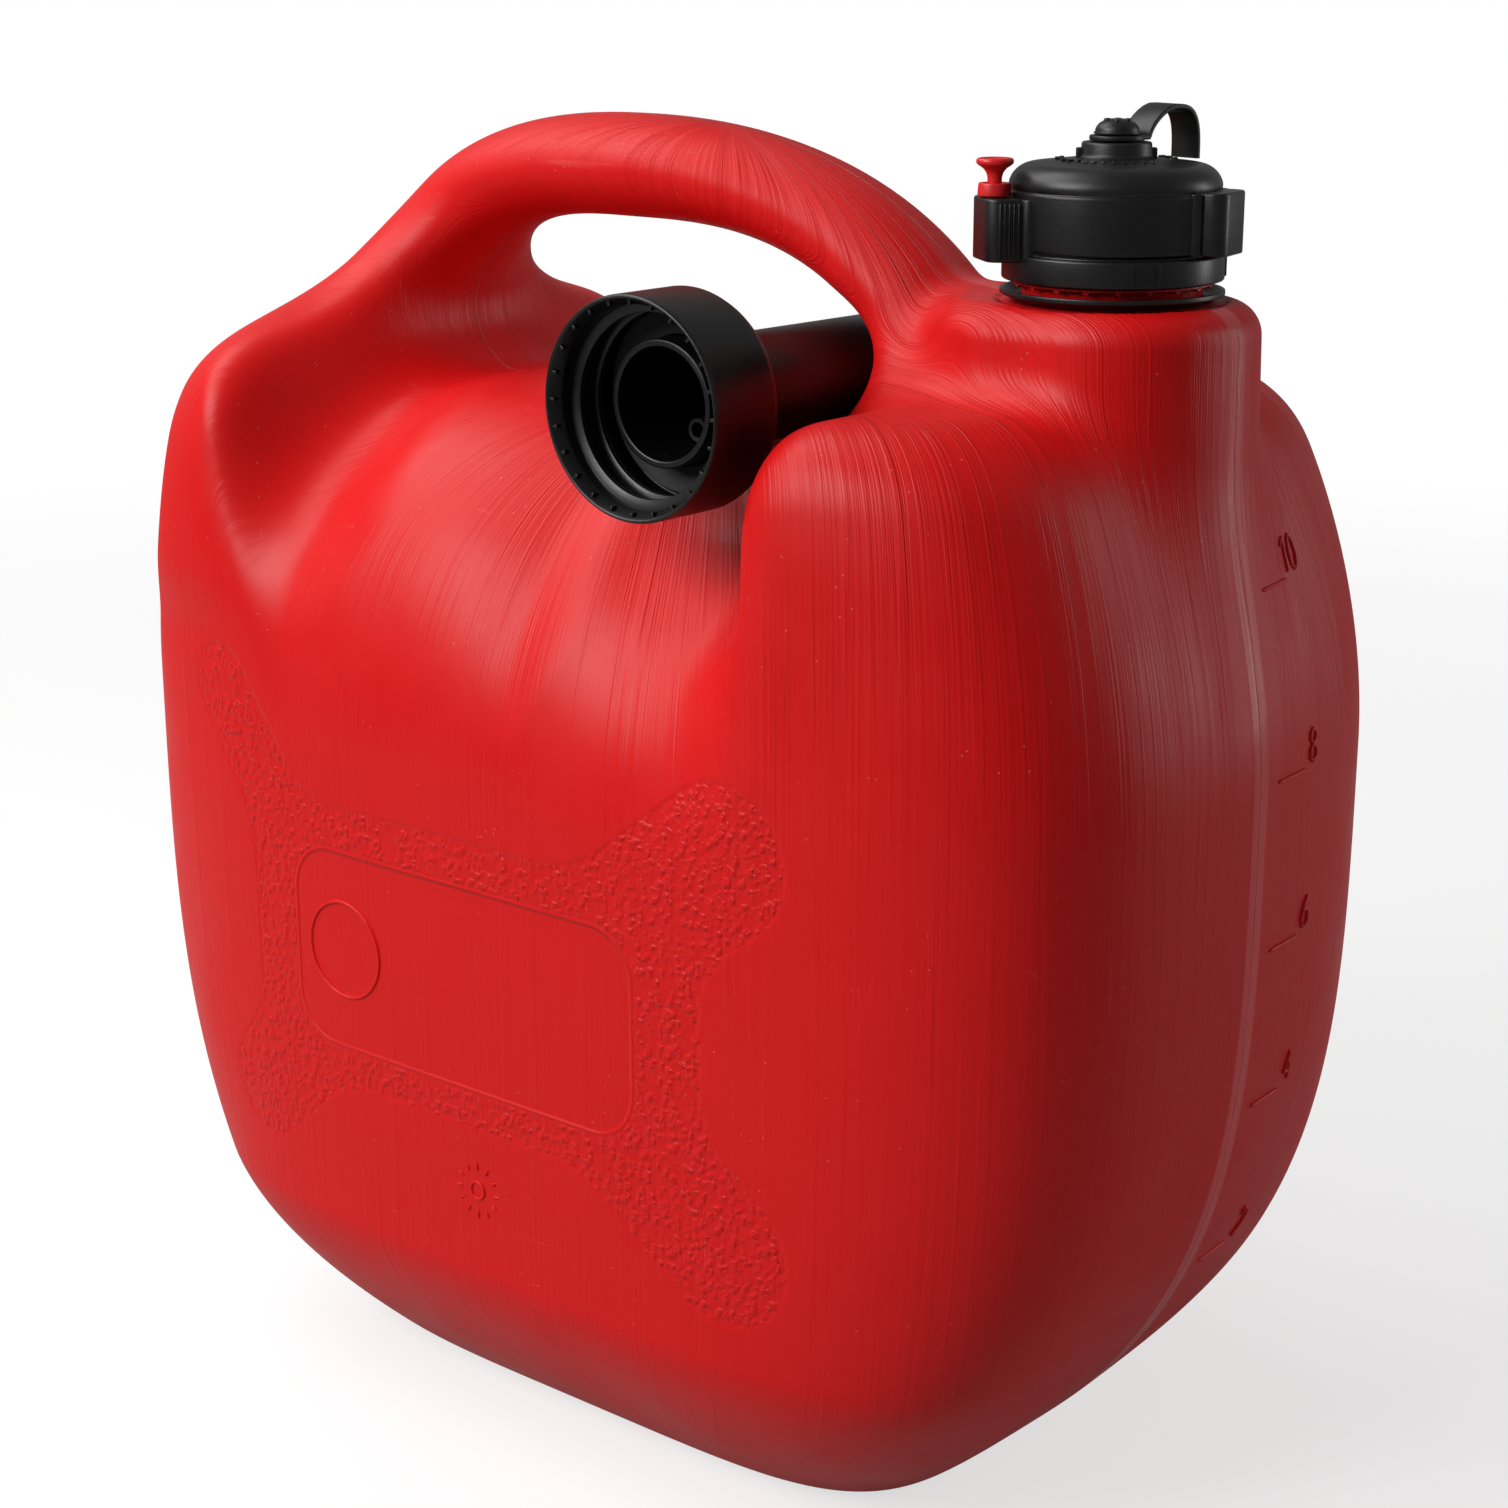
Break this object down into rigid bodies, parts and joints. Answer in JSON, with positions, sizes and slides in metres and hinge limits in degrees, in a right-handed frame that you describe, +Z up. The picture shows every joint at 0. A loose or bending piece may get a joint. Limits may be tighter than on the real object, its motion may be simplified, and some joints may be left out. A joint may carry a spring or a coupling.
{
  "type": "plastic fuel jerrycan",
  "caption": "Plastic liquid can with hollow top handle, screw cap with vent plug and locking pin, and a pouring spout stowed across the shoulder.",
  "frame": {"origin": "centre of the flat base, on the surface that the can stands on", "axes": "+Z up, +X towards the filler neck, -Y towards the side where the spout's mouth shows"},
  "size_m": [0.3112, 0.1784, 0.3328],
  "materials": {
    "tank_plastic": "semi-gloss moulded red polyethylene",
    "ring_plastic": "satin black",
    "cap_plastic": "satin black",
    "cap_gasket_rubber": "matt dark grey",
    "plug_plastic": "satin black",
    "strap_plastic": "satin black",
    "sleeve_plastic": "semi-gloss red",
    "pin_plastic": "semi-gloss red",
    "spout_plastic": "satin black",
    "spout_gasket_rubber": "matt dark grey",
    "vent_tube_plastic": "satin black"
  },
  "bodies": {
    "can": {"tank_body": "tank_plastic", "neck_ring": "ring_plastic"},
    "cap_seal": {"cap_gasket": "cap_gasket_rubber"},
    "cap": {"cap_shell": "cap_plastic", "vent_strap": "strap_plastic", "lock_pin_sleeve": "sleeve_plastic"},
    "plug": {"vent_plug": "plug_plastic"},
    "pin": {"lock_pin": "pin_plastic"},
    "spout": {"spout_body": "spout_plastic", "spout_gasket": "spout_gasket_rubber", "spout_vent_tube": "vent_tube_plastic"}
  },
  "joints": [
    {"name": "cap_lift", "type": "slide", "parent": "can", "child": "cap_seal", "axis": [0, 0, 1], "range_m": [0, 0.00888]},
    {"name": "cap_turn", "type": "hinge", "parent": "cap_seal", "child": "cap", "pos_m": [0.1115, 0, 0.2903], "axis": [0, 0, 1], "range_deg": [0, 540]},
    {"name": "plug_lift", "type": "slide", "parent": "cap", "child": "plug", "axis": [0, 0, 1], "range_m": [0, 0.008], "deforming": ["vent_strap"]},
    {"name": "pin_press", "type": "slide", "parent": "cap", "child": "pin", "axis": [0, 0, -1], "range_m": [0, 0.003]},
    {"name": "spout_draw", "type": "slide", "parent": "can", "child": "spout", "axis": [0, -1, 0], "range_m": [0, 0.16]}
  ],
  "couplings": [
    {"joint": "cap_lift", "follows": "cap_turn", "m_per_rad": 0.0009422}
  ]
}
